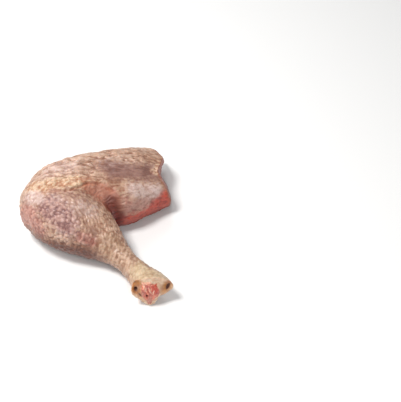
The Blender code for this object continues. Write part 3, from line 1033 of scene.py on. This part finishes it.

# %% [markdown]
# ## Streaks, pits and meat over the skin
# Fine marks follow: a painted highlight on the highest domes, thin streaks along the thigh,
# painted shadow in the groove under the fold's edge, dark pits where three follicles meet,
# partly painted shade, blotches of blood under the skin, the fibres of the bare meat with pale
# seams, a darker tint where little light reaches, and painted shade along the thigh's cut edge.

# %% Marks and meat
rise = m.sum("ADD", m.zone("dome"), m.span(fine, 0.3, 0.7, -0.12, 0.12))
colour = m.mix(m.span(rise, 0.05, 0.56), crease_colour_and_shade, crown)
# A painted highlight on the highest domes, strongest on the purple and yellow zones and none on the red.
dome_top_highlight = m.span(rise, 0.6, 1.0)
calm = m.sum("SUBTRACT", 1.0, m.zone("red"))
dome_top_highlight = m.sum("MULTIPLY", dome_top_highlight, calm)
lively = m.sum("ADD", m.zone("purple"), m.sum("ADD", m.zone("yellow"), 0.25))
dome_top_highlight = m.sum("MULTIPLY", dome_top_highlight, m.span(lively, 0.0, 1.0))
colour = m.mix(m.sum("MULTIPLY", dome_top_highlight, 0.28), colour, paint_of(234, 206, 196))
streaks = m.grain(1.0, 3.0, m.stretched((0, 0, -THIGH_HEADING), (0.14, 1.0, 1.0)), 0.6, 0.2)
lines = m.sum("MULTIPLY", m.span(streaks, 0.5, 0.64), m.zone("thigh"))
colour = m.mix(m.sum("MULTIPLY", lines, 0.3), colour, paint_of(158, 108, 88))
# Painted shadow, orange-brown, in the groove under the fold's edge.
colour = m.mix(m.sum("MULTIPLY", m.zone("fold"), 0.5), colour, paint_of(176, 104, 76))
# Dark in the pits where three follicles meet: partly their own colour, partly painted shade.
pit_colour_and_shade = m.sum("MULTIPLY", m.zone("pit"), m.span(patches, 0.42, 0.6))
colour = m.mix(m.sum("MULTIPLY", pit_colour_and_shade, 0.4), colour, paint_of(120, 74, 62))
blotch = m.mix(m.span(m.grain(4.2, 5.0, None, 0.65, 0.6), 0.36, 0.62), paint_of(220, 208, 202), (1, 1, 1, 1))
colour = m.mix(0.6, colour, blotch, "MULTIPLY")

fibres = m.grain(1.1, 4.0, m.stretched((0, 0, -THIGH_HEADING), (0.22, 1.0, 1.0)), 0.6, 0.3)
flesh = m.mix(m.span(fibres, 0.35, 0.65), paint_of(132, 26, 14), paint_of(194, 88, 58))
flesh = m.mix(m.sum("MULTIPLY", m.zone("seam"), 0.35), flesh, paint_of(216, 170, 144))
colour = m.mix(m.zone("meat"), colour, flesh)
colour = m.mix(m.sum("MULTIPLY", m.zone("shade"), 0.9), colour, paint_of(158, 108, 92), "MULTIPLY")
# Painted shade, dark red-brown, along the edge of the thigh's cut.
colour = m.mix(m.sum("MULTIPLY", m.zone("rim"), 0.7), colour, paint_of(148, 78, 54))
print("colour mixed with", len(m.nodes), "nodes so far")

# %% [markdown]
# ## The cut, and the finished skin
# The cut face is pale gristle with brown stains in the cup and the hollow, strands over it,
# and near-black painted shade in the holes. Raw skin is moist but not wet, so its gloss is
# uneven, and it goes dull inside the holes. Fine bumps carry what is smaller than the mesh can hold.

# %% Cut and finish
cut = m.mix(m.span(mottle, 0.35, 0.65), paint_of(206, 166, 136), paint_of(228, 202, 174))
stain = m.mix(m.span(mottle, 0.35, 0.65), paint_of(150, 82, 20), paint_of(188, 122, 54))
cut = m.mix(m.sum("MULTIPLY", m.zone("brown"), m.span(mottle, 0.25, 0.6, 0.75, 1.0)), cut, stain)
cut = strand_colours(m, cut)
# Near-black painted shade in the holes.
cut = m.mix(m.span(m.zone("hole"), 0.3, 0.85), cut, paint_of(74, 28, 12))
colour = m.mix(m.zone("cut"), colour, cut)

skin_normal = m.bump(fine, 0.4, 0.15)
skin_normal = m.bump(m.cells(0.9), 0.25, 0.12, skin_normal)
skin_normal = m.bump(m.sum("MULTIPLY", streaks, m.zone("thigh")), 0.5, 0.25, skin_normal)
gloss = m.span(m.grain(1.6), 0.3, 0.7, 0.37, 0.57)
gloss = m.sum("MAXIMUM", gloss, m.sum("MULTIPLY", m.zone("hole"), 0.9))
raw_skin = m.finish(colour, gloss, skin_normal, 0.15, 0.12)
skin.data.materials.clear()
skin.data.materials.append(raw_skin)
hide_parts("leg")
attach(skin, "root")
print("skin finished with", len(raw_skin.node_tree.nodes), "nodes")

# %% [markdown]
# ## The shin bone
# Only its end shows, in the middle of the hock's cut, under torn gristle. The piece keeps
# the node's form: a merged copy, remeshed finer, with the same strands raised on its end.

# %% Bone
BONE_STEP = 0.35

bone = copy_of("shin_bone", "shin_bone_end")
bone.data.remesh_voxel_size = BONE_STEP * MM
bpy.ops.object.voxel_remesh()
rounding = bone.modifiers.new("smooth", "SMOOTH")
rounding.factor = 0.5
rounding.iterations = 10
bpy.ops.object.modifier_apply(modifier="smooth")
tear_open(bone, 0.2)
bpy.ops.object.shade_smooth()
side, up, out = at_hock(points_of(bone))
_, tones = strand_relief(side, up)
for tone, value in tones.items():
    paint(bone, "strand_" + tone, value)
paint(bone, "hole", oval(side, up, *SMALL_PIT))

m = Mixer("raw_gristle")
grain = m.span(m.grain(1.2, 4.0), 0.35, 0.65)
colour = strand_colours(m, m.mix(grain, paint_of(184, 84, 74), paint_of(212, 126, 112)))
# Near-black painted shade in the small pit on the bone's end.
colour = m.mix(m.span(m.zone("hole"), 0.3, 0.85), colour, paint_of(74, 28, 12))
normal = m.bump(m.grain(0.7, 4.0, m.stretched((0, 0.3, 0), (1.0, 1.0, 0.4))), 0.5, 0.3)
bone.data.materials.clear()
bone.data.materials.append(m.finish(colour, 0.34, normal, 0.15, 0.3))
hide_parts("shin_bone")
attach(bone, "root")
print("bone:", len(bone.data.polygons), "faces")

# %% [markdown]
# ## Sizes
# The relief must not make the leg noticeably larger than its solids, so both boxes are
# measured and how much the leg has grown is printed.

# %% Sizes
dressed_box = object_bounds()
grown = [round((b - a) / MM, 2) for a, b in zip(cad_box[1] - cad_box[0], dressed_box[1] - dressed_box[0])]
print("larger than the solids by, in mm:", grown)

# %% [markdown]
# ## The two pieces
# The skin and the bone are dressed, and both hang on the root body.
